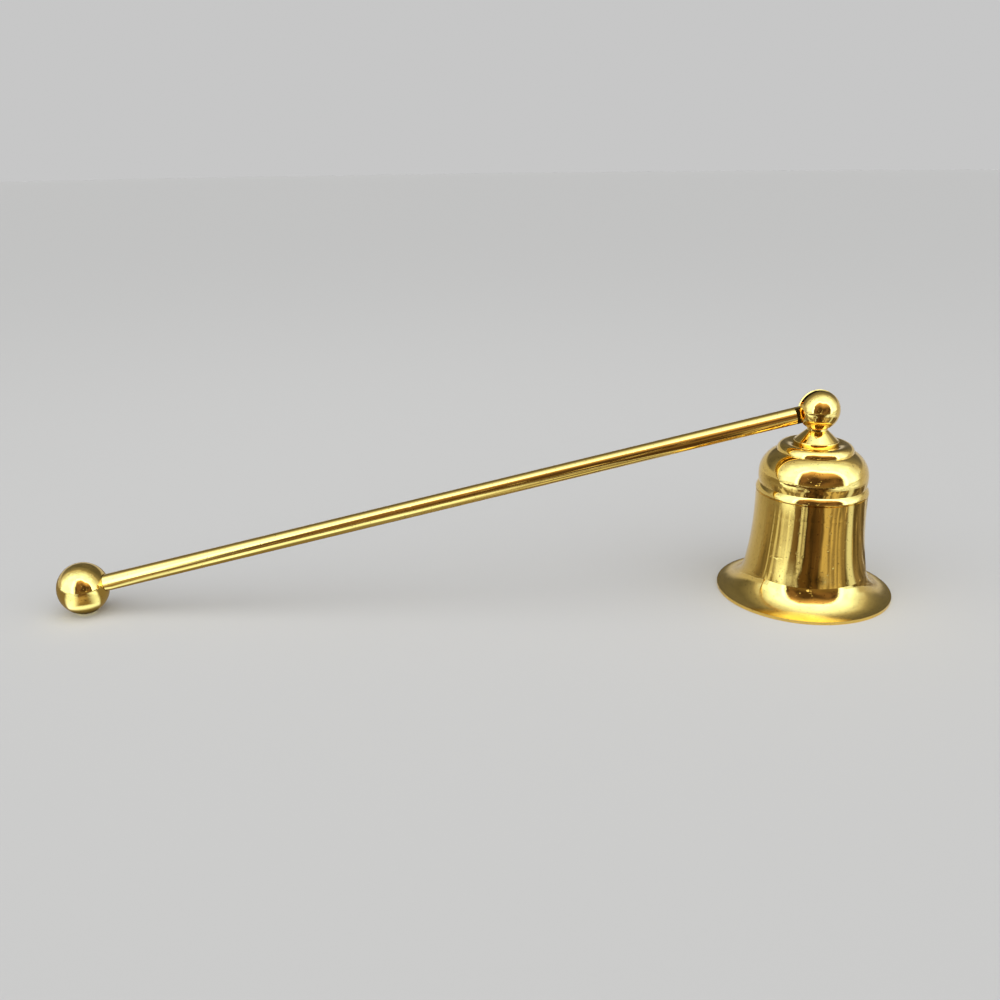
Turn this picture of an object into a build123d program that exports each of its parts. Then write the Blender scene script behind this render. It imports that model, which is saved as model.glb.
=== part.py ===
from build123d import *
from math import asin, cos, degrees, hypot, isclose, sin, sqrt
import os

# A bell shaped candle snuffer with a long hinged handle, all in turned and polished brass.
# Millimetres, +Z up. The origin is on the bell's axis, in the plane that the bell stands on.
# The handle runs towards -X and its end ball rests on the same plane, which is the rest pose.
# The handle turns about an axis along Y through the middle of the pivot ball.

# Bell, outside, from the rim up
rim_radius = 25.5
rim_edge_height = 0.9
rim_land_width = 1.0
flare_rise = 6.7
flare_top_step = 1.85
waist_radius = 15.95
waist_curve_rise = 19.5
waist_straight_rise = 4.9
bead_edge_height = 0.3
bead_proud = 0.1
seam_width = 0.35
seam_depth = 0.25
shoulder_rise = 1.7
shoulder_inset = 0.85
shoulder_bulge = 0.15
dome_inset = 0.5
dome_tuck_height = 2.3
dome_land_height = 0.5
dome_rise = 7.1
dome_width = 4.5
crown_groove_width = 0.15
cushion_edge_height = 0.1
cushion_round = 2.2
cushion_dip = 0.6
cushion_dip_margin = 0.15

# Bell, inside
wall = 1.3
crown_thickness = 1.9
crown_ledge_width = 3.5

# Finial: a foot, a cone and a slotted ball turned from one bar, with a stud below
foot_radius = 6.35
foot_edge_height = 1.3
foot_round = 0.3
cone_rise = 2.95
neck_radius = 2.9
neck_length = 0.55
pivot_ball_radius = 5.9
stud_radius = 2.0
stud_tail = 1.1
stud_chamfer = 0.4
crown_hole_clearance = 0.1

# Fixing inside the bell
washer_radius = 4.5
washer_thickness = 0.8
washer_clearance = 0.15
nut_across_flats = 7.0
nut_height = 3.2
nut_corner_drop = 0.35

# Hinge
pin_radius = 1.0
pin_running_clearance = 0.05
tongue_thickness = 1.5
tongue_side_clearance = 0.1
slot_floor_gap = 1.9
ear_edge_break = 0.25
shoulder_gap = 1.3

# Handle
handle_length = 220.0
rod_radius = 2.5
rod_edge_break = 0.25
end_ball_radius = 7.65
end_ball_half_length = 7.25
end_ball_let_in = 0.35
end_ball_seam = 0.15
stub_radius = 1.6
stub_length = 6.5
stub_end_gap = 0.5

# How far a cutting shape runs past what it cuts
overrun = 1.0

# Heights up the bell's axis
flare_top_height = rim_edge_height + flare_rise
waist_curve_top_height = flare_top_height + waist_curve_rise
bead_height = waist_curve_top_height + waist_straight_rise
shoulder_foot = bead_height + bead_edge_height
groove_height = shoulder_foot + shoulder_rise
dome_land_foot = groove_height + dome_tuck_height
dome_land_top = dome_land_foot + dome_land_height
dome_top = dome_land_top + dome_rise
cushion_edge_top = dome_top + cushion_edge_height
crest_height = cushion_edge_top + cushion_round
crown_height = crest_height - cushion_dip
crown_underside = crown_height - crown_thickness
cone_foot = crown_height + foot_edge_height + foot_round
neck_foot = cone_foot + cone_rise
neck_top = neck_foot + neck_length
pivot_height = neck_top + sqrt(pivot_ball_radius**2 - neck_radius**2)

# Radii that follow from the others
flare_top_radius = waist_radius + flare_top_step
bead_radius = waist_radius + bead_proud
groove_radius = bead_radius - shoulder_inset
dome_radius = bead_radius - dome_inset
dome_end_radius = dome_radius - dome_width
cushion_radius = dome_end_radius - crown_groove_width
crest_radius = cushion_radius - cushion_round
crown_seat_radius = foot_radius + cushion_dip_margin
crown_inner_radius = cushion_radius - crown_ledge_width

# The fixing, from the crown's underside down
washer_foot = crown_underside - washer_thickness
nut_foot = washer_foot - nut_height
stud_foot = nut_foot - stud_tail

# The slot in the pivot ball, and where the rod starts and ends along the handle
slot_width = tongue_thickness + 2 * tongue_side_clearance
slot_floor_height = pivot_height - rod_radius - slot_floor_gap
rod_start = pivot_ball_radius + shoulder_gap
seat_share = sqrt(1 - (rod_radius / end_ball_radius) ** 2)
seat_to_centre = end_ball_half_length * seat_share - end_ball_let_in
rod_end = handle_length - seat_to_centre

# The handle's slope at rest, where the end ball's lowest point is level with the rim. The ball is a
# little shorter than it is wide, so that point's depth below its centre is the square root of
# end_ball_radius**2 - shortening * rest_slope**2, and the slope is the root of a quadratic
shortening = end_ball_radius**2 - end_ball_half_length**2
square_factor = handle_length**2 + shortening
half_linear_factor = handle_length * pivot_height
constant_factor = pivot_height**2 - end_ball_radius**2
slope_spread = sqrt(half_linear_factor**2 - square_factor * constant_factor)
rest_slope = (half_linear_factor - slope_spread) / square_factor
rest_angle = asin(rest_slope)
handle_direction = Vector(-cos(rest_angle), 0, -sin(rest_angle))
pivot_point = Vector(0, 0, pivot_height)
end_ball_centre = pivot_point + handle_direction * handle_length

# Sections square to the handle, and planes along it, upright at rest
rod_section = Plane(origin=pivot_point, x_dir=(0, 1, 0), z_dir=handle_direction)
swing_plane = Plane(origin=pivot_point, x_dir=handle_direction, z_dir=(0, 1, 0))
end_ball_plane = Plane(origin=end_ball_centre, x_dir=handle_direction, z_dir=(0, 1, 0))
pin_plane = Plane(origin=pivot_point, x_dir=(1, 0, 0), z_dir=(0, 1, 0))


def step_off(point, centre, distance):
    """The point moved by a distance straight away from a centre, both as (x, z)."""
    reach = hypot(point[0] - centre[0], point[1] - centre[1])
    share = distance / reach
    return (point[0] + (point[0] - centre[0]) * share, point[1] + (point[1] - centre[1]) * share)


def make_bell():
    """One thin shell: the flared skirt, the bead, the dome and the cushion, which dips to the finial."""
    rim_bottom = (rim_radius, 0)
    rim_top = (rim_radius, rim_edge_height)
    flare_top = (flare_top_radius, flare_top_height)
    waist_top = (waist_radius, waist_curve_top_height)
    seam_foot = (waist_radius, bead_height - seam_width)
    seam_floor = (waist_radius - seam_depth, bead_height - seam_width / 2)
    bead_bottom = (bead_radius, bead_height)
    bead_top = (bead_radius, shoulder_foot)
    groove = (groove_radius, groove_height)
    tuck_top = (dome_radius, dome_land_foot)
    dome_foot = (dome_radius, dome_land_top)
    dome_end = (dome_end_radius, dome_top)
    cushion_foot = (cushion_radius, dome_top)
    cushion_edge = (cushion_radius, cushion_edge_top)
    crest = (crest_radius, crest_height)
    crown_seat = (crown_seat_radius, crown_height)
    with BuildPart() as bell:
        with BuildSketch(Plane.XZ):
            with BuildLine():
                Line(rim_bottom, rim_top)
                waist = TangentArc(waist_top, flare_top, tangent=(0, -1))
                flare = TangentArc(flare_top, rim_top, tangent=waist % 1)
                Line(waist_top, seam_foot)
                Line(seam_foot, seam_floor)
                Line(seam_floor, bead_bottom)
                Line(bead_bottom, bead_top)
                SagittaArc(bead_top, groove, -shoulder_bulge)
                TangentArc(tuck_top, groove, tangent=(0, -1))
                Line(tuck_top, dome_foot)
                TangentArc(dome_foot, dome_end, tangent=(0, 1))
                Line(dome_end, cushion_foot)
                Line(cushion_foot, cushion_edge)
                TangentArc(cushion_edge, crest, tangent=(0, 1))
                TangentArc(crest, crown_seat, tangent=(-1, 0))
                Line(crown_seat, (0, crown_height))
                Line((0, crown_height), (0, crown_underside))
                inner_crown = (crown_inner_radius, crown_underside)
                inner_dome = (dome_radius - wall, dome_land_top)
                inner_waist_top = (waist_radius - wall, waist_curve_top_height)
                inner_flare_top = step_off(flare_top, (flare.arc_center.X, flare.arc_center.Y), wall)
                inner_rim = (rim_radius - rim_land_width, 0)
                Line((0, crown_underside), inner_crown)
                TangentArc(inner_dome, inner_crown, tangent=(0, 1))
                Line(inner_dome, inner_waist_top)
                inner_waist = TangentArc(inner_waist_top, inner_flare_top, tangent=(0, -1))
                TangentArc(inner_flare_top, inner_rim, tangent=inner_waist % 1)
                Line(inner_rim, rim_bottom)
            make_face()
        revolve(axis=Axis.Z)
        with BuildSketch(Plane.XY.offset(crown_underside - overrun)):
            Circle(stud_radius + crown_hole_clearance)
        extrude(amount=crown_thickness + 2 * overrun, mode=Mode.SUBTRACT)
    bell.part.label = "bell"
    return bell.part


def make_finial():
    """The clevis ball on its neck, the cone foot that sits on the crown, and the stud below it."""
    foot_edge_top = (foot_radius, crown_height + foot_edge_height)
    cone_start = (foot_radius - foot_round, cone_foot)
    with BuildPart() as finial:
        with BuildSketch(Plane.XZ):
            with BuildLine():
                Polyline(
                    (0, pivot_height),
                    (0, stud_foot),
                    (stud_radius - stud_chamfer, stud_foot),
                    (stud_radius, stud_foot + stud_chamfer),
                    (stud_radius, crown_height),
                    (foot_radius, crown_height),
                    foot_edge_top,
                )
                TangentArc(foot_edge_top, cone_start, tangent=(0, 1))
                Polyline(
                    cone_start,
                    (neck_radius, neck_foot),
                    (neck_radius, pivot_height),
                    (0, pivot_height),
                )
            make_face()
        revolve(axis=Axis.Z)
        with Locations(pivot_point):
            Sphere(pivot_ball_radius)
        with BuildSketch(Plane.XY.offset(slot_floor_height)):
            Rectangle(2 * (pivot_ball_radius + overrun), slot_width)
        extrude(amount=pivot_height + pivot_ball_radius + overrun - slot_floor_height, mode=Mode.SUBTRACT)
        round_edges = finial.edges().filter_by(GeomType.CIRCLE)
        ear_edges = round_edges.filter_by(lambda edge: isclose(abs(edge.arc_center.Y), slot_width / 2))
        chamfer(ear_edges, ear_edge_break)
        with BuildSketch(pin_plane):
            Circle(pin_radius)
        extrude(amount=pivot_ball_radius + overrun, both=True, mode=Mode.SUBTRACT)
    finial.part.label = "finial"
    return finial.part


def make_hinge_pin():
    """A rivet through both ears, dressed flush with the ball."""
    with BuildPart() as hinge_pin:
        with BuildSketch(pin_plane):
            Circle(pin_radius)
        extrude(amount=pivot_ball_radius + overrun, both=True)
        with Locations(pivot_point):
            Sphere(pivot_ball_radius, mode=Mode.INTERSECT)
    hinge_pin.part.label = "hinge_pin"
    return hinge_pin.part


def make_washer():
    with BuildPart() as washer:
        with BuildSketch(Plane.XY.offset(washer_foot)):
            Circle(washer_radius)
            Circle(stud_radius + washer_clearance, mode=Mode.SUBTRACT)
        extrude(amount=washer_thickness)
    washer.part.label = "crown_washer"
    return washer.part


def make_nut():
    """A hexagon nut on the stud, its corners turned down at both ends."""
    corner_radius = nut_across_flats / sqrt(3)
    with BuildPart() as nut:
        with BuildSketch(Plane.XY.offset(nut_foot)):
            RegularPolygon(radius=nut_across_flats / 2, side_count=6, major_radius=False)
        extrude(amount=nut_height)
        with BuildSketch(Plane.XZ):
            with BuildLine():
                Polyline(
                    (0, nut_foot),
                    (nut_across_flats / 2, nut_foot),
                    (corner_radius, nut_foot + nut_corner_drop),
                    (corner_radius, washer_foot - nut_corner_drop),
                    (nut_across_flats / 2, washer_foot),
                    (0, washer_foot),
                    close=True,
                )
            make_face()
        revolve(axis=Axis.Z, mode=Mode.INTERSECT)
        with BuildSketch(Plane.XY.offset(nut_foot - overrun)):
            Circle(stud_radius)
        extrude(amount=nut_height + 2 * overrun, mode=Mode.SUBTRACT)
    nut.part.label = "crown_nut"
    return nut.part


def make_rod():
    """The handle's rod: milled to a flat tongue at the hinge, turned to a stub in the end ball."""
    with BuildPart() as rod:
        with BuildSketch(swing_plane):
            Circle(rod_radius)
            with Locations((rod_start / 2, 0)):
                Rectangle(rod_start, 2 * rod_radius)
        extrude(amount=tongue_thickness / 2, both=True)
        with BuildSketch(rod_section.offset(-rod_radius)):
            Circle(rod_radius)
        extrude(amount=rod_start + rod_radius, mode=Mode.INTERSECT)
        with BuildSketch(rod_section.offset(rod_start)):
            Circle(rod_radius)
        extrude(amount=rod_end - rod_start)
        rod_ends = rod.edges().filter_by(GeomType.CIRCLE).filter_by(lambda edge: edge.is_closed)
        chamfer(rod_ends, rod_edge_break)
        with BuildSketch(rod_section.offset(rod_end)):
            Circle(stub_radius)
        extrude(amount=stub_length)
        with BuildSketch(pin_plane):
            Circle(pin_radius + pin_running_clearance)
        extrude(amount=tongue_thickness, both=True, mode=Mode.SUBTRACT)
    rod.part.label = "handle_rod"
    return rod.part


def make_end_ball():
    """The slightly squat ball at the handle's far end, bored blind for the rod's stub."""
    with BuildPart() as end_ball:
        with BuildSketch(end_ball_plane):
            Ellipse(end_ball_half_length, end_ball_radius)
            Rectangle(
                2 * end_ball_half_length,
                end_ball_radius,
                align=(Align.CENTER, Align.MIN),
                mode=Mode.INTERSECT,
            )
        revolve(axis=Axis(end_ball_centre, handle_direction))
        with BuildSketch(rod_section.offset(rod_end - overrun - end_ball_let_in)):
            Circle(rod_radius + end_ball_seam)
        extrude(amount=overrun + end_ball_let_in, mode=Mode.SUBTRACT)
        with BuildSketch(rod_section.offset(rod_end - overrun)):
            Circle(stub_radius)
        extrude(amount=overrun + stub_length + stub_end_gap, mode=Mode.SUBTRACT)
    end_ball.part.label = "end_ball"
    return end_ball.part


os.makedirs("parts", exist_ok=True)
for piece in (
    make_bell(),
    make_finial(),
    make_hinge_pin(),
    make_washer(),
    make_nut(),
    make_rod(),
    make_end_ball(),
):
    export_step(piece, f"parts/{piece.label}.step")

print(f"pivot height {pivot_height:.3f} mm, rest angle {degrees(rest_angle):.3f} degrees below level")
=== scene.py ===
import bpy
from math import cos, pi, radians, sin
from types import SimpleNamespace
from mathutils import Matrix, Vector

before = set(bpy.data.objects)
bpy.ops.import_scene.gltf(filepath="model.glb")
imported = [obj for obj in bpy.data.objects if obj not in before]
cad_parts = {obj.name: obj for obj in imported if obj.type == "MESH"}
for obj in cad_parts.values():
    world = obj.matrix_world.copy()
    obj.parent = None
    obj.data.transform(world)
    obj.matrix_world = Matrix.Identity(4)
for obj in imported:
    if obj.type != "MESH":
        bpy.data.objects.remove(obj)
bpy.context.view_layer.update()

# Lengths are in metres. A pair of numbers is a range, its start and its end, and a pair of colours is
# what a noise blends. Left and right are the camera's. The bell's axis meets the floor at BELL_AXIS.
MM = 0.001
UP = Vector((0, 0, 1))
BELL_AXIS = Vector((0, 0, 0))
WHITE = (1, 1, 1)
scene = bpy.context.scene

# The camera, where the photograph was taken from. Its lens and sensor are in millimetres.
CAMERA_PLACE = Vector((-105.74, -273.66, 127.18)) * MM
CAMERA_YAW = radians(2.858)
CAMERA_PITCH = radians(19.295)
CAMERA_ROLL = radians(-0.700)
CAMERA_LENS = 35.915
CAMERA_SENSOR = 36.0
CAMERA_NEAREST = 0.01

# The one lamp, which points at the middle of the object
MIDDLE = Vector((-105, 0, 30)) * MM
LAMP_PLACE = Vector((-120, 60, 620)) * MM
LAMP_WIDTH = 0.5
LAMP_DEPTH = 0.4
LAMP_WATTS = 0.5

FLOOR_COLOUR = (0.58, 0.58, 0.575)
FLOOR_ROUGHNESS = 0.9
FLOOR_RADIUS = 6.0
FLOOR_SIDES = 128

# The room's level at angles in degrees from its front, on the camera's side: bright round the front,
# fading to a dim back. Patches make it a little uneven.
ROOM_FRONT_TURN = radians(-92)
ROOM_FRONT_RISE = radians(2)
ROOM_LEVELS = ((0, 2.5), (40, 2.5), (73, 2.6), (87, 1.60), (99, 0.90), (113, 0.32), (130, 0.16), (180, 0.13))
BRIGHTEST = max(level for angle, level in ROOM_LEVELS)
ROOM_PATCH_SIZE = 0.35
ROOM_PATCH_NOISE = (0.35, 0.65)
ROOM_PATCH_LEVELS = (0.84, 1.10)

# Low down behind the object the room has about the floor's tone, and the camera sees that tone all round.
# The two ranges are the Y and the Z of the direction that is looked in.
HORIZON_LEVEL = 0.57
HORIZON_BEHIND = (-0.2, 0.2)
HORIZON_TOP = (0.13, 0.25)

# Reflections of the room turn cool as its level goes up through a range, and matte surfaces get only a
# share of its light.
COOL = (0.80, 1.0, 1.35)
COOL_LEVELS = (0.45, 1.3)
MATTE_SHARE = 0.62

# Polished brass, with a thin film, specks, wipe marks, a faint waviness and small dings. SIZE is how large
# the features of a noise are, NOISE is the range of its values over which a mark comes in, and the rest is
# what the mark then does.
POLISHED_BRASS = (0.90, 0.615, 0.155)
DARKER_BRASS = (0.50, 0.33, 0.09)
FILM_SIZE = 11 * MM
FILM_NOISE = (0.52, 0.80)
FILM_SHARE = (0.0, 0.25)
FILM_ROUGH_NOISE = (0.50, 0.80)
FILM_ROUGHNESS = (0.0, 0.04)
SPECK_SIZE = 0.55 * MM
SPECK_NOISE = (0.66, 0.72)
SPECK_SHARE = (0.0, 0.9)
WIPE_SIZE = 1.0 * MM
WIPE_NOISE = (0.45, 0.75)
WIPE_ROUGHNESS = (0.025, 0.08)
WIPE_DEPTH = 0.0012 * MM
WAVE_SIZE = 7 * MM
DING_SIZE = 1.2 * MM
DING_NOISE = (0.69, 0.79)
DING_DEPTH = 0.008 * MM

# The heights between which the bell's rim turns from dull to polished
RIM_HEIGHTS = (2.6 * MM, 6.2 * MM)

# Brass that was never polished, with a stain
PLAIN_BRASS = (0.62, 0.44, 0.16)
STAINED_BRASS = (0.36, 0.24, 0.09)
STAIN_SIZE = 3 * MM
STAIN_NOISE = (0.42, 0.7)
STAIN_ROUGH_NOISE = (0.3, 0.7)
STAIN_ROUGHNESS = (0.28, 0.5)

# The dark shape on the camera's side, a painted reflection that the two balls show: its foot, its way across
# and its size.
# It is FIGURE_HEIGHT tall on the left and FIGURE_LOW_HEIGHT on the right, and steps down over FIGURE_STEP.
FIGURE_FOOT = Vector((-22, -239, 0)) * MM
FIGURE_ACROSS = Vector((0.9996, 0.029, 0)).normalized()
FIGURE_HALF_WIDTH = 285 * MM
FIGURE_HEIGHT = 475 * MM
FIGURE_LOW_HEIGHT = 0.75 * FIGURE_HEIGHT
FIGURE_STEP = (-0.09, 0.05)
FIGURE_ROUNDNESS = 4.0
FIGURE_WOBBLE_SIZE = 140 * MM
FIGURE_WOBBLE = (-0.03, 0.03)

# Its painted colours from the foot to the top, its pale spots of painted highlight, and the bright border of
# painted highlight, at reaches that are 1 on the shape's outline
FIGURE_PATCH_SIZE = 130 * MM
FIGURE_PATCH_NOISE = (0.40, 0.66)
FIGURE_BROWN = ((0.09, 0.056, 0.036), (0.25, 0.155, 0.10))
FIGURE_FOOT_COLOUR = (0.24, 0.175, 0.10)
FIGURE_FOOT_HEIGHTS = (0.0, 0.07)
FIGURE_TOP_COLOUR = (1.0, 0.68, 0.40)
FIGURE_TOP_PART = (0.36, 0.80)
FIGURE_SPOT_COLOUR = (1.3, 1.2, 0.9)
FIGURE_SPOT_SIZE = 28 * MM
FIGURE_SPOT_NOISE = (0.70, 0.77)
FIGURE_PAINTED_HIGHLIGHT = (3.1, 3.9, 5.0)
FIGURE_PAINTED_HIGHLIGHT_START = (0.80, 1.04)
FIGURE_PAINTED_HIGHLIGHT_END = (1.10, 1.32)

# The card that carries it: its half sides as shares of the shape's half width and height, and the height of
# its middle as a share of the card's half height
FIGURE_CARD_WIDTH = 1.4
FIGURE_CARD_HEIGHT = 0.75
FIGURE_CARD_RISE = 0.85

# The apron is a glowing card just above the floor before the bell, a painted reflection of that floor in
# shade. Its bearings are degrees from +X round the bell's axis, so -90 is the camera's side, and its reaches
# are distances from that axis.
APRON_HEIGHT = 1 * MM
APRON_HALF_SIDE = 0.26
APRON_CORE = -103
APRON_LEFT_EDGE = (-140, -122)
APRON_RIGHT_EDGE = (16, 34)
APRON_INNER_EDGE = (0.026, 0.034)
APRON_OUTER_EDGE = (0.100, 0.135)
APRON_CORE_OUTER_EDGE = (0.22, 0.26)
APRON_CORE_HALF = (20, 36)

# The apron's rays are noise over bearing and reach, each scaled, and sway its left and right edges
RAY_BEARING_SCALE = 0.01
RAY_REACH_SCALE = 2.0
RAY_SIZE = 0.13
THIN_RAY_SIZE = 0.045
WIDE_RAY_SIZE = 0.09
RAY_SWAY = (-16, 16)

# A paler part of painted reflection beyond the apron's left edge, round a bearing of its own. Its zone is a
# range of the cosine of the degrees off that bearing.
LEFT_PART = -163
LEFT_PART_ZONE = (0.74, 0.87)
LEFT_PART_EDGE = (0.080, 0.110)
LEFT_PART_COVER = 0.9
LEFT_PART_NOISE = (0.40, 0.60)
LEFT_PART_COLOURS = ((0.24, 0.21, 0.13), (0.90, 0.95, 0.95))

# The apron's painted reflection: brown painted shade in the core and olive round it, each in two tones by the
# rays, then one bright ray of painted highlight, thin pale rays and a zone of wide pale streaks of painted
# reflection
APRON_RAY_NOISE = (0.36, 0.64)
APRON_OLIVE = ((0.11, 0.09, 0.06), (0.30, 0.25, 0.18))
APRON_BROWN = ((0.035, 0.024, 0.014), (0.13, 0.078, 0.042))
APRON_BROWN_HALF = (18, 44)
BRIGHT_RAY_START = (-36, -29)
BRIGHT_RAY_END = (-24, -17)
PAINTED_HIGHLIGHT_RAY_COLOUR = (0.85, 1.0, 1.2)
THIN_RAY_NOISE = (0.62, 0.72)
THIN_RAY_SHARE = (0.0, 0.8)
THIN_RAY_COLOUR = (0.75, 0.66, 0.45)
THIN_RAY_CORE_HALF = (10, 36)
THIN_RAY_CORE_SHARE = (0.25, 1.0)
STREAK_START = (-90, -80)
STREAK_END = (-50, -42)
STREAK_NOISE = (0.38, 0.60)
STREAK_SHARE = (0.15, 0.85)
STREAK_COLOUR = (0.78, 0.68, 0.46)

# The place on the floor that the flat face in the hinge's gap shows, with a dark round patch of painted shade
# that makes the gap look dark
GAP_PAINTED_SHADE = Vector((67, -202, 0)) * MM
GAP_PAINTED_SHADE_EDGE = (0.018, 0.034)
GAP_PAINTED_SHADE_COLOUR = (0.02, 0.014, 0.008)

# The pool is a glowing card just above the floor round the end ball, a painted reflection with painted
# highlights and a painted shadow. A dull strip runs from it at one bearing. The other ranges are degrees off
# that strip, or distances from the pool's middle.
POOL_MIDDLE = Vector((-214.6, 0, 0.6)) * MM
POOL_HALF_SIDE = 0.25
STRIP_BEARING = -72
STRIP_HALF = (12, 46)
STRIP_OUTER_EDGE = (0.16, 0.24)
POOL_OUTER_EDGE = (0.06, 0.24)
POOL_RING_START = (0.0058, 0.0080)
POOL_RING_END = (0.0086, 0.0108)
POOL_BACK_HALF = (58, 80)
POOL_BACK_RIGHT = (-22, -8)
POOL_BACK_COLOUR = (0.26, 0.23, 0.17)
POOL_PATCH_SIZE = 25 * MM
POOL_PAINTED_HIGHLIGHT_NOISE = (0.3, 0.7)
POOL_PAINTED_HIGHLIGHT = ((1.1, 1.4, 1.8), (2.0, 2.5, 3.2))
POOL_DULL_NOISE = (0.4, 0.6)
POOL_DULL = ((0.30, 0.24, 0.15), (0.56, 0.46, 0.31))
POOL_FAR_DULL = (0.16, 0.10, 0.06)
POOL_FAR_DULL_REACH = (0.010, 0.075)
POOL_PAINTED_SHADOW = ((0.08, 0.07, 0.04), (0.27, 0.24, 0.15))
POOL_PAINTED_SHADOW_REACH = (0.0040, 0.0064)

# The far pool is a glowing card, a pale arc of painted highlight on either side of the apron's core. Its
# halves are degrees off that core.
FAR_POOL_HEIGHT = 0.3 * MM
FAR_POOL_HALF_SIDE = 5.8
FAR_POOL_START_HALF = (26, 42)
FAR_POOL_END_HALF = (84, 104)
FAR_POOL_INNER_EDGE = (0.095, 0.135)
FAR_POOL_OUTER_EDGE = (4.5, 5.8)
FAR_POOL_PATCH_SIZE = 60 * MM
FAR_POOL_STRENGTH = (0.9, 1.7)

# The middle part of a noise, where nearly all of its values lie
NOISE_MIDDLE = (0.3, 0.7)


class NodeTree:
    """The nodes of a material or of the world, with a short call for each kind of node that is used here."""

    def __init__(self, owner):
        owner.use_nodes = True
        self.nodes = owner.node_tree.nodes
        self.links = owner.node_tree.links

    def feed(self, socket, source):
        """A number, a colour or another node's output, into a socket."""
        if isinstance(source, (int, float)):
            socket.default_value = source
        elif isinstance(source, tuple):
            socket.default_value = (*source, 1)
        else:
            self.links.new(source, socket)

    def object_place(self):
        return self.nodes.new("ShaderNodeTexCoord").outputs["Object"]

    def axis(self, place, letter):
        """One coordinate of a place or a direction."""
        split = self.nodes.new("ShaderNodeSeparateXYZ")
        self.links.new(place, split.inputs[0])
        return split.outputs[letter]

    def maths(self, operation, first, second=0.0):
        node = self.nodes.new("ShaderNodeMath")
        node.operation = operation
        self.feed(node.inputs[0], first)
        self.feed(node.inputs[1], second)
        return node.outputs[0]

    def product(self, *factors):
        result = factors[0]
        for factor in factors[1:]:
            result = self.maths("MULTIPLY", result, factor)
        return result

    def larger(self, first, second):
        return self.maths("MAXIMUM", first, second)

    def apart(self, first, second):
        """How far two numbers are from each other."""
        return self.maths("ABSOLUTE", self.maths("SUBTRACT", first, second))

    def remap(self, source, old, new=(0.0, 1.0)):
        """A smooth step from one range to another."""
        node = self.nodes.new("ShaderNodeMapRange")
        node.interpolation_type = "SMOOTHSTEP"
        for name, number in zip(("From Min", "From Max", "To Min", "To Max"), (*old, *new)):
            node.inputs[name].default_value = number
        self.links.new(source, node.inputs["Value"])
        return node.outputs["Result"]

    def fall(self, source, old):
        """A smooth step down, from 1 to 0."""
        return self.remap(source, old, (1.0, 0.0))

    def between(self, source, start, end):
        """1 between two ranges: a smooth step up over the first and down again over the second."""
        return self.product(self.remap(source, start), self.fall(source, end))

    def noise(self, place, size, stretch=(1, 1, 1), detail=2.0):
        """Noise whose features are about one size across, drawn out along some axes."""
        mapping = self.nodes.new("ShaderNodeMapping")
        mapping.inputs["Scale"].default_value = [1 / (size * length) for length in stretch]
        self.links.new(place, mapping.inputs["Vector"])
        node = self.nodes.new("ShaderNodeTexNoise")
        node.inputs["Scale"].default_value = 1.0
        node.inputs["Detail"].default_value = detail
        self.links.new(mapping.outputs[0], node.inputs["Vector"])
        return node.outputs["Fac"]

    def mix(self, share, first, second, kind="RGBA"):
        """The first colour or number where the share is 0, the second where it is 1."""
        node = self.nodes.new("ShaderNodeMix")
        node.data_type = kind
        self.feed(node.inputs["Factor"], share)
        self.feed(node.inputs["A"], first)
        self.feed(node.inputs["B"], second)
        return node.outputs["Result"]

    def bump(self, height, depth, normal=None):
        """A normal bent by a height, on top of another bump's normal if there is one."""
        node = self.nodes.new("ShaderNodeBump")
        node.inputs["Distance"].default_value = depth
        self.links.new(height, node.inputs["Height"])
        if normal is not None:
            self.links.new(normal, node.inputs["Normal"])
        return node.outputs["Normal"]

    def bearing_and_reach(self, place, middle):
        """The direction from a middle, in degrees from +X, and the level distance from it."""
        along = self.maths("SUBTRACT", self.axis(place, "X"), middle.x)
        across = self.maths("SUBTRACT", self.axis(place, "Y"), middle.y)
        bearing = self.maths("MULTIPLY", self.maths("ARCTAN2", across, along), 180 / pi)
        squares = self.maths("ADD", self.maths("POWER", along, 2), self.maths("POWER", across, 2))
        return bearing, self.maths("SQRT", squares)

    def glow(self, colour, strength, cover):
        """Light of a colour where the cover is 1, nothing at all where it is 0."""
        self.nodes.remove(self.nodes["Principled BSDF"])
        light = self.nodes.new("ShaderNodeEmission")
        self.feed(light.inputs["Color"], colour)
        self.feed(light.inputs["Strength"], strength)
        clear = self.nodes.new("ShaderNodeBsdfTransparent")
        both = self.nodes.new("ShaderNodeMixShader")
        self.links.new(cover, both.inputs["Fac"])
        self.links.new(clear.outputs[0], both.inputs[1])
        self.links.new(light.outputs[0], both.inputs[2])
        self.links.new(both.outputs[0], self.nodes["Material Output"].inputs["Surface"])


def new_material(name):
    material = bpy.data.materials.new(name)
    return material, NodeTree(material)


def new_metal(name):
    """A material whose shader is all metal, its nodes and that shader's sockets."""
    material, tree = new_material(name)
    sockets = tree.nodes["Principled BSDF"].inputs
    sockets["Metallic"].default_value = 1.0
    return material, tree, sockets


def brass_roughness(tree, place, film, wipes, dull_rim):
    """Rougher in the wipe marks, under the film and towards a dull rim."""
    wipe_rough = tree.remap(wipes, WIPE_NOISE, WIPE_ROUGHNESS)
    film_rough = tree.remap(film, FILM_ROUGH_NOISE, FILM_ROUGHNESS)
    rim_rough = tree.remap(tree.axis(place, "Z"), RIM_HEIGHTS, (dull_rim, 0.0))
    return tree.maths("ADD", tree.maths("ADD", wipe_rough, film_rough), rim_rough)


def brass_bumps(tree, place, wipes, wave_stretch, wave_depth):
    """A faint waviness, then small dings, then the wipe marks."""
    waves = tree.noise(place, WAVE_SIZE, wave_stretch, detail=1.5)
    dings = tree.remap(tree.noise(place, DING_SIZE, detail=0.5), DING_NOISE)
    wavy = tree.bump(waves, wave_depth)
    dented = tree.bump(dings, -DING_DEPTH, wavy)
    return tree.bump(wipes, WIPE_DEPTH, dented)


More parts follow.
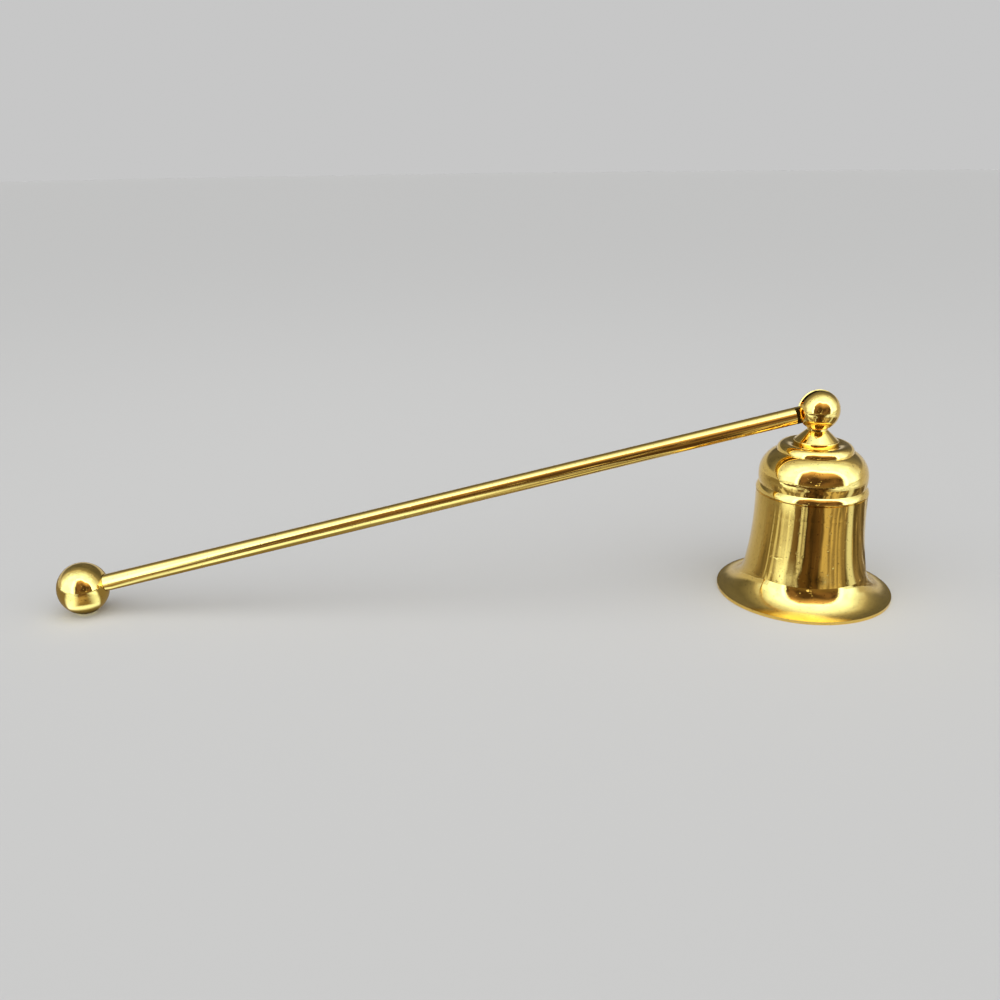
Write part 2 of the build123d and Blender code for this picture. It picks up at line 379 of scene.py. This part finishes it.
def brass_material(name, wave_stretch, wave_depth, wipe_stretch, dull_rim=0.0):
    """Mirror polished brass: a faint waviness, dings, wipe marks, specks and a thin film."""
    material, tree, sockets = new_metal(name)
    place = tree.object_place()
    film = tree.noise(place, FILM_SIZE, detail=4.0)
    specks = tree.noise(place, SPECK_SIZE, detail=1.0)
    wipes = tree.noise(place, WIPE_SIZE, wipe_stretch, detail=3.0)
    film_share = tree.remap(film, FILM_NOISE, FILM_SHARE)
    speck_share = tree.remap(specks, SPECK_NOISE, SPECK_SHARE)
    tone = tree.mix(tree.larger(film_share, speck_share), POLISHED_BRASS, DARKER_BRASS)
    tree.feed(sockets["Base Color"], tone)
    tree.feed(sockets["Roughness"], brass_roughness(tree, place, film, wipes, dull_rim))
    tree.feed(sockets["Normal"], brass_bumps(tree, place, wipes, wave_stretch, wave_depth))
    return material


def plain_brass_material():
    """Turned brass that was never polished, for the washer and nut inside."""
    material, tree, sockets = new_metal("plain_brass")
    stain = tree.noise(tree.object_place(), STAIN_SIZE, detail=4.0)
    tone = tree.mix(tree.remap(stain, STAIN_NOISE), PLAIN_BRASS, STAINED_BRASS)
    tree.feed(sockets["Base Color"], tone)
    tree.feed(sockets["Roughness"], tree.remap(stain, STAIN_ROUGH_NOISE, STAIN_ROUGHNESS))
    return material


def dress(node, material):
    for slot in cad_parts[node].material_slots:
        slot.material = material


def figure_reach(tree, place):
    """How high a place is, as a share of the dark shape's height, and its reach, 1 on the rounded outline."""
    along_x = tree.product(tree.maths("SUBTRACT", tree.axis(place, "X"), FIGURE_FOOT.x), FIGURE_ACROSS.x)
    along_y = tree.product(tree.maths("SUBTRACT", tree.axis(place, "Y"), FIGURE_FOOT.y), FIGURE_ACROSS.y)
    along = tree.maths("ADD", along_x, along_y)
    wide = tree.maths("DIVIDE", tree.maths("ABSOLUTE", along), FIGURE_HALF_WIDTH)
    height = tree.remap(along, FIGURE_STEP, (FIGURE_HEIGHT, FIGURE_LOW_HEIGHT))
    high = tree.maths("DIVIDE", tree.larger(tree.axis(place, "Z"), 0.0), height)
    wide_power = tree.maths("POWER", wide, FIGURE_ROUNDNESS)
    high_power = tree.maths("POWER", high, FIGURE_ROUNDNESS)
    outline = tree.maths("POWER", tree.maths("ADD", wide_power, high_power), 1 / FIGURE_ROUNDNESS)
    wobble = tree.remap(tree.noise(place, FIGURE_WOBBLE_SIZE), NOISE_MIDDLE, FIGURE_WOBBLE)
    return high, tree.maths("ADD", outline, wobble)


def painted_figure_reflection_material():
    """A painted reflection of a dark shape, glowing though it is no lamp: brown below, orange towards its
    top, with pale spots and a bright border of painted highlight.
    """
    material, tree = new_material("painted_figure_reflection_card")
    place = tree.object_place()
    high, reach = figure_reach(tree, place)
    patches = tree.remap(tree.noise(place, FIGURE_PATCH_SIZE, detail=1.5), FIGURE_PATCH_NOISE)
    brown = tree.mix(patches, *FIGURE_BROWN)
    foot = tree.mix(tree.remap(tree.axis(place, "Z"), FIGURE_FOOT_HEIGHTS), FIGURE_FOOT_COLOUR, brown)
    warm = tree.mix(tree.remap(high, FIGURE_TOP_PART), foot, FIGURE_TOP_COLOUR)
    spots = tree.remap(tree.noise(place, FIGURE_SPOT_SIZE, detail=1.0), FIGURE_SPOT_NOISE)
    inside = tree.mix(spots, warm, FIGURE_SPOT_COLOUR)
    # The bright border is a painted highlight round the dark shape
    colour = tree.mix(tree.remap(reach, FIGURE_PAINTED_HIGHLIGHT_START), inside, FIGURE_PAINTED_HIGHLIGHT)
    tree.glow(colour, 1.0, tree.fall(reach, FIGURE_PAINTED_HIGHLIGHT_END))
    return material


def painted_apron_reflection_fields(tree):
    """The numbers at each place that the apron's cover and its colour are both made from."""
    place = tree.object_place()
    bearing, reach = tree.bearing_and_reach(place, BELL_AXIS)
    polar_node = tree.nodes.new("ShaderNodeCombineXYZ")
    tree.feed(polar_node.inputs["X"], tree.product(bearing, RAY_BEARING_SCALE))
    tree.feed(polar_node.inputs["Y"], tree.product(reach, RAY_REACH_SCALE))
    polar = polar_node.outputs[0]
    rays = tree.noise(polar, RAY_SIZE, detail=3.0)
    swayed = tree.maths("ADD", bearing, tree.remap(rays, NOISE_MIDDLE, RAY_SWAY))
    left_side = tree.remap(swayed, APRON_LEFT_EDGE)
    return SimpleNamespace(
        place=place,
        bearing=bearing,
        reach=reach,
        rays=rays,
        thin_rays=tree.noise(polar, THIN_RAY_SIZE),
        wide_rays=tree.noise(polar, WIDE_RAY_SIZE),
        left_side=left_side,
        solid=tree.product(left_side, tree.fall(swayed, APRON_RIGHT_EDGE)),
        from_core=tree.apart(bearing, APRON_CORE),
        near_part=tree.fall(reach, APRON_OUTER_EDGE),
    )


def painted_apron_reflection_cover(tree, fields):
    """Where the apron is: between its edges, farther out in its core, and in the part left of that."""
    in_core = tree.fall(fields.from_core, APRON_CORE_HALF)
    core_part = tree.product(in_core, tree.fall(fields.reach, APRON_CORE_OUTER_EDGE))
    main_part = tree.product(fields.solid, tree.larger(fields.near_part, core_part))
    left_turn = tree.product(tree.maths("SUBTRACT", fields.bearing, LEFT_PART), pi / 180)
    left_zone = tree.remap(tree.maths("COSINE", left_turn), LEFT_PART_ZONE)
    left_part = tree.product(left_zone, tree.fall(fields.reach, LEFT_PART_EDGE), LEFT_PART_COVER)
    return tree.product(tree.larger(main_part, left_part), tree.remap(fields.reach, APRON_INNER_EDGE))


def painted_apron_reflection_colour(tree, fields):
    """The apron's painted ground, then its bright ray of painted highlight, its thin rays and its wide
    streaks of painted reflection on top.
    """
    by_ray = tree.remap(fields.rays, APRON_RAY_NOISE)
    olive = tree.mix(by_ray, *APRON_OLIVE)
    brown = tree.mix(by_ray, *APRON_BROWN)
    right_ground = tree.mix(tree.remap(fields.from_core, APRON_BROWN_HALF), brown, olive)
    left_ground = tree.mix(tree.remap(fields.wide_rays, LEFT_PART_NOISE), *LEFT_PART_COLOURS)
    ground = tree.mix(fields.left_side, left_ground, right_ground)
    # A ray of painted highlight in the painted reflection
    bright_ray = tree.between(fields.bearing, BRIGHT_RAY_START, BRIGHT_RAY_END)
    with_bright_ray = tree.mix(bright_ray, ground, PAINTED_HIGHLIGHT_RAY_COLOUR)
    thin = tree.remap(fields.thin_rays, THIN_RAY_NOISE, THIN_RAY_SHARE)
    outside_core = tree.remap(fields.from_core, THIN_RAY_CORE_HALF, THIN_RAY_CORE_SHARE)
    thin_share = tree.product(thin, fields.solid, outside_core)
    with_thin_rays = tree.mix(thin_share, with_bright_ray, THIN_RAY_COLOUR)
    streak_zone = tree.between(fields.bearing, STREAK_START, STREAK_END)
    streaks = tree.remap(fields.wide_rays, STREAK_NOISE, STREAK_SHARE)
    streak_share = tree.product(streak_zone, streaks, fields.near_part)
    return tree.mix(streak_share, with_thin_rays, STREAK_COLOUR)


def painted_apron_reflection_material():
    """A painted reflection of the floor before the bell in shade, glowing though it is no lamp: dull olive,
    in uneven rays that run out from the bell's axis.
    """
    material, tree = new_material("painted_apron_reflection_card")
    fields = painted_apron_reflection_fields(tree)
    # A dark round patch of painted shade, which the hinge's gap shows
    gap_reach = tree.bearing_and_reach(fields.place, GAP_PAINTED_SHADE)[1]
    gap_painted_shade = tree.fall(gap_reach, GAP_PAINTED_SHADE_EDGE)
    colour = tree.mix(gap_painted_shade, painted_apron_reflection_colour(tree, fields), GAP_PAINTED_SHADE_COLOUR)
    tree.glow(colour, 1.0, tree.larger(painted_apron_reflection_cover(tree, fields), gap_painted_shade))
    return material


def painted_pool_reflection_material():
    """A painted reflection of the floor round the end ball: a dull strip towards the camera's side, painted
    highlight on both sides of the strip and in a narrow ring under the ball, a painted shadow right under it,
    and dull behind the ball."""
    material, tree = new_material("painted_pool_reflection_card")
    place = tree.object_place()
    bearing, reach = tree.bearing_and_reach(place, POOL_MIDDLE)
    off_strip = tree.apart(bearing, STRIP_BEARING)
    ring_and_beyond = tree.remap(reach, POOL_RING_START)
    ring = tree.product(ring_and_beyond, tree.fall(reach, POOL_RING_END))
    sides = tree.product(tree.remap(off_strip, STRIP_HALF), ring_and_beyond)
    back = tree.larger(tree.remap(off_strip, POOL_BACK_HALF), tree.remap(bearing, POOL_BACK_RIGHT))
    patches = tree.noise(place, POOL_PATCH_SIZE)
    # The pale parts are painted highlight
    cool = tree.mix(tree.remap(patches, POOL_PAINTED_HIGHLIGHT_NOISE), *POOL_PAINTED_HIGHLIGHT)
    near_dull = tree.mix(tree.remap(patches, POOL_DULL_NOISE), *POOL_DULL)
    dull = tree.mix(tree.remap(reach, POOL_FAR_DULL_REACH), near_dull, POOL_FAR_DULL)
    # Right under the ball, a painted shadow
    under = tree.mix(tree.remap(reach, POOL_PAINTED_SHADOW_REACH), *POOL_PAINTED_SHADOW)
    strip = tree.mix(ring_and_beyond, under, dull)
    front = tree.mix(tree.larger(ring, sides), strip, cool)
    colour = tree.mix(back, front, POOL_BACK_COLOUR)
    strip_cover = tree.product(tree.maths("SUBTRACT", 1.0, sides), tree.fall(reach, STRIP_OUTER_EDGE))
    tree.glow(colour, 1.0, tree.larger(strip_cover, tree.fall(reach, POOL_OUTER_EDGE)))
    return material


def far_painted_pool_reflection_material():
    """A painted highlight in the reflection of the floor farther out before the bell: a pale arc, open in the
    middle where the dark shape stands.
    """
    material, tree = new_material("far_painted_pool_reflection_card")
    place = tree.object_place()
    bearing, reach = tree.bearing_and_reach(place, BELL_AXIS)
    sides = tree.between(tree.apart(bearing, APRON_CORE), FAR_POOL_START_HALF, FAR_POOL_END_HALF)
    band = tree.between(reach, FAR_POOL_INNER_EDGE, FAR_POOL_OUTER_EDGE)
    strength = tree.remap(tree.noise(place, FAR_POOL_PATCH_SIZE), NOISE_MIDDLE, FAR_POOL_STRENGTH)
    tree.glow(COOL, strength, tree.product(sides, band))
    return material


def make_card(name, centre, across, up, material):
    """A flat studio card that only reflections see, given by its middle and its two half sides."""
    corners = [centre + a * across + b * up for a, b in ((-1, -1), (1, -1), (1, 1), (-1, 1))]
    mesh = bpy.data.meshes.new(name)
    mesh.from_pydata(corners, [], [(0, 1, 2, 3)])
    mesh.materials.append(material)
    card = bpy.data.objects.new(name, mesh)
    scene.collection.objects.link(card)
    card.visible_camera = False
    card.visible_diffuse = False
    card.visible_shadow = False
    card.visible_transmission = False
    card.visible_volume_scatter = False


def make_level_card(name, centre, half_side, material):
    """A square card that lies level."""
    make_card(name, centre, Vector((half_side, 0, 0)), Vector((0, half_side, 0)), material)


def make_painted_reflection_cards():
    """Painted reflections that the polished brass shows: a dark shape on the camera's side, and the floor in
    three parts, with painted shade and painted highlights.
    """
    across = FIGURE_ACROSS * FIGURE_HALF_WIDTH * FIGURE_CARD_WIDTH
    up = UP * FIGURE_HEIGHT * FIGURE_CARD_HEIGHT
    make_card("painted_figure_reflection_card", FIGURE_FOOT + up * FIGURE_CARD_RISE, across, up, painted_figure_reflection_material())
    make_level_card("painted_apron_reflection_card", UP * APRON_HEIGHT, APRON_HALF_SIDE, painted_apron_reflection_material())
    make_level_card("painted_pool_reflection_card", POOL_MIDDLE, POOL_HALF_SIDE, painted_pool_reflection_material())
    make_level_card("far_painted_pool_reflection_card", UP * FAR_POOL_HEIGHT, FAR_POOL_HALF_SIDE, far_painted_pool_reflection_material())


def make_floor():
    bpy.ops.mesh.primitive_circle_add(vertices=FLOOR_SIDES, radius=FLOOR_RADIUS, fill_type="NGON")
    floor = bpy.context.object
    floor.name = "floor"
    material, tree = new_material("floor")
    sockets = tree.nodes["Principled BSDF"].inputs
    sockets["Base Color"].default_value = (*FLOOR_COLOUR, 1)
    sockets["Roughness"].default_value = FLOOR_ROUGHNESS
    sockets["Specular IOR Level"].default_value = 0.0
    floor.data.materials.append(material)


def room_level(tree, direction):
    """The room's level in a direction, by its angle from the room's front."""
    level_part = cos(ROOM_FRONT_RISE)
    front = (level_part * cos(ROOM_FRONT_TURN), level_part * sin(ROOM_FRONT_TURN), sin(ROOM_FRONT_RISE))
    facing = tree.nodes.new("ShaderNodeVectorMath")
    facing.operation = "DOT_PRODUCT"
    facing.inputs[1].default_value = front
    tree.links.new(direction, facing.inputs[0])
    angle = tree.maths("ARCCOSINE", facing.outputs["Value"])
    ramp = tree.nodes.new("ShaderNodeValToRGB")
    ramp.color_ramp.interpolation = "EASE"
    tree.links.new(tree.maths("DIVIDE", angle, pi), ramp.inputs["Fac"])
    elements = ramp.color_ramp.elements
    # Each new element gets its own position just after
    while len(elements) < len(ROOM_LEVELS):
        elements.new(0.5)
    for element, (degrees_off, level) in zip(elements, ROOM_LEVELS):
        element.position = degrees_off / 180
        element.color = (*[level / BRIGHTEST] * 3, 1)
    patches = tree.noise(direction, ROOM_PATCH_SIZE)
    unevenness = tree.remap(patches, ROOM_PATCH_NOISE, ROOM_PATCH_LEVELS)
    return tree.product(ramp.outputs["Color"], BRIGHTEST, unevenness)


def make_world():
    """A room that is bright round the camera's side and fades to a dim back, and the horizon's plain tone."""
    world = bpy.data.worlds.new("studio")
    scene.world = world
    tree = NodeTree(world)
    direction = tree.nodes.new("ShaderNodeTexCoord").outputs["Generated"]
    behind = tree.remap(tree.axis(direction, "Y"), HORIZON_BEHIND)
    low = tree.fall(tree.axis(direction, "Z"), HORIZON_TOP)
    ray = tree.nodes.new("ShaderNodeLightPath").outputs
    at_horizon = tree.larger(tree.product(behind, low), ray["Is Camera Ray"])
    level = tree.mix(at_horizon, room_level(tree, direction), HORIZON_LEVEL, "FLOAT")
    cool_share = tree.product(tree.remap(level, COOL_LEVELS), ray["Is Glossy Ray"])
    matte_factor = tree.remap(ray["Is Diffuse Ray"], (0.0, 1.0), (1.0, MATTE_SHARE))
    background = tree.nodes["Background"].inputs
    tree.feed(background["Color"], tree.mix(cool_share, WHITE, COOL))
    tree.feed(background["Strength"], tree.product(level, matte_factor))


def make_lamp():
    data = bpy.data.lights.new("overhead", "AREA")
    data.shape = "ELLIPSE"
    data.size = LAMP_WIDTH
    data.size_y = LAMP_DEPTH
    data.energy = LAMP_WATTS
    lamp = bpy.data.objects.new("overhead", data)
    scene.collection.objects.link(lamp)
    lamp.location = LAMP_PLACE
    lamp.rotation_mode = "QUATERNION"
    lamp.rotation_quaternion = (MIDDLE - LAMP_PLACE).to_track_quat("-Z", "Y")
    lamp.visible_camera = False
    lamp.visible_glossy = False


def make_camera():
    """A level camera turned by its yaw and pitch, then rolled about its own line of sight."""
    level_part = cos(CAMERA_PITCH)
    forward = Vector((sin(CAMERA_YAW) * level_part, cos(CAMERA_YAW) * level_part, -sin(CAMERA_PITCH)))
    level_right = Vector((cos(CAMERA_YAW), -sin(CAMERA_YAW), 0))
    level_up = level_right.cross(forward)
    right = cos(CAMERA_ROLL) * level_right + sin(CAMERA_ROLL) * level_up
    up = cos(CAMERA_ROLL) * level_up - sin(CAMERA_ROLL) * level_right
    data = bpy.data.cameras.new("camera")
    data.lens = CAMERA_LENS
    data.sensor_width = CAMERA_SENSOR
    data.clip_start = CAMERA_NEAREST
    camera = bpy.data.objects.new("camera", data)
    scene.collection.objects.link(camera)
    turn = Matrix((right, up, -forward)).transposed()
    camera.matrix_world = Matrix.Translation(CAMERA_PLACE) @ turn.to_4x4()
    scene.camera = camera


make_camera()
make_world()
make_floor()
make_painted_reflection_cards()
make_lamp()
scene.view_settings.view_transform = "Standard"

bell_brass = brass_material(
    "bell_brass", wave_stretch=(1, 1, 2.2), wave_depth=0.09 * MM, wipe_stretch=(1, 1, 0.12), dull_rim=0.15
)
ball_brass = brass_material(
    "ball_brass", wave_stretch=(1, 1, 1), wave_depth=0.02 * MM, wipe_stretch=(1, 1, 0.12)
)
rod_brass = brass_material(
    "rod_brass", wave_stretch=(4, 1, 1), wave_depth=0.02 * MM, wipe_stretch=(0.12, 1, 1)
)
plain_brass = plain_brass_material()
for node, material in (
    ("bell", bell_brass),
    ("finial", ball_brass),
    ("hinge_pin", ball_brass),
    ("crown_washer", plain_brass),
    ("crown_nut", plain_brass),
    ("handle_rod", rod_brass),
    ("end_ball", ball_brass),
):
    dress(node, material)
